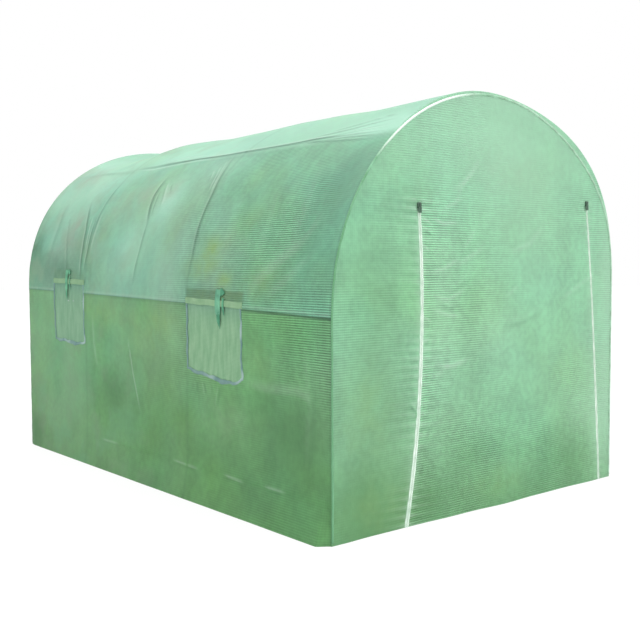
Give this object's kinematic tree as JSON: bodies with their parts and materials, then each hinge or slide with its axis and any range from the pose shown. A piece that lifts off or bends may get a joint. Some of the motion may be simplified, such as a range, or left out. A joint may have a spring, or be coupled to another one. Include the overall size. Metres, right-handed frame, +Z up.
{
  "type": "polytunnel greenhouse",
  "caption": "Walk-in hooped tunnel greenhouse: steel tube frame under a translucent fabric cover with a zipped roll-up door and netted windows.",
  "frame": {"origin": "on the ground, in the middle of the plan", "axes": "+X across the tunnel to the right seen from the door, +Y along it from the door end to the rear, +Z up"},
  "size_m": [2.0024, 3.0105, 1.9498],
  "materials": {
    "frame_tube": "galvanised steel tube",
    "connector_plastic": "moulded polypropylene",
    "foot_steel": "galvanised steel plate",
    "cover_side_fabric": "reinforced polyethylene sheet, slightly glossy",
    "cover_roof_fabric": "reinforced polyethylene sheet, slightly glossy",
    "cover_end_fabric": "reinforced polyethylene sheet, slightly glossy",
    "piping": "folded polyethylene binding",
    "zip_tape": "woven polyester tape with a nylon coil",
    "zip_slider": "painted die casting",
    "insect_net": "fine woven mesh",
    "window_hem": "folded and sewn hem",
    "tie_strap": "woven polyethylene strap"
  },
  "bodies": {
    "root": {"hoop_front": "frame_tube", "hoop_second": "frame_tube", "hoop_third": "frame_tube", "hoop_rear": "frame_tube", "legs_left": "frame_tube", "legs_right": "frame_tube", "shoulder_rails_left": "frame_tube", "shoulder_rails_right": "frame_tube", "roof_rails_left": "frame_tube", "roof_rails_right": "frame_tube", "base_rails_left": "frame_tube", "base_rails_right": "frame_tube", "rear_base_bar": "frame_tube", "shoulder_connectors_left": "connector_plastic", "shoulder_connectors_right": "connector_plastic", "roof_connectors_left": "connector_plastic", "roof_connectors_right": "connector_plastic", "base_connectors_left": "connector_plastic", "base_connectors_right": "connector_plastic", "foot_plates_left": "foot_steel", "foot_plates_right": "foot_steel", "cover_wall_left": "cover_side_fabric", "cover_wall_right": "cover_side_fabric", "cover_roof": "cover_roof_fabric", "front_panel": "cover_end_fabric", "door_flap": "cover_end_fabric", "rear_panel": "cover_end_fabric", "front_edge_piping": "piping", "rear_edge_piping": "piping", "door_zip_left": "zip_tape", "door_zip_right": "zip_tape", "zip_sliders": "zip_slider", "window_nets_left": "insect_net", "window_nets_right": "insect_net", "window_hems_left": "window_hem", "window_hems_right": "window_hem", "window_flaps_left": "cover_side_fabric", "window_flaps_right": "cover_side_fabric", "flap_ties_left": "tie_strap", "flap_ties_right": "tie_strap"}
  },
  "joints": []
}
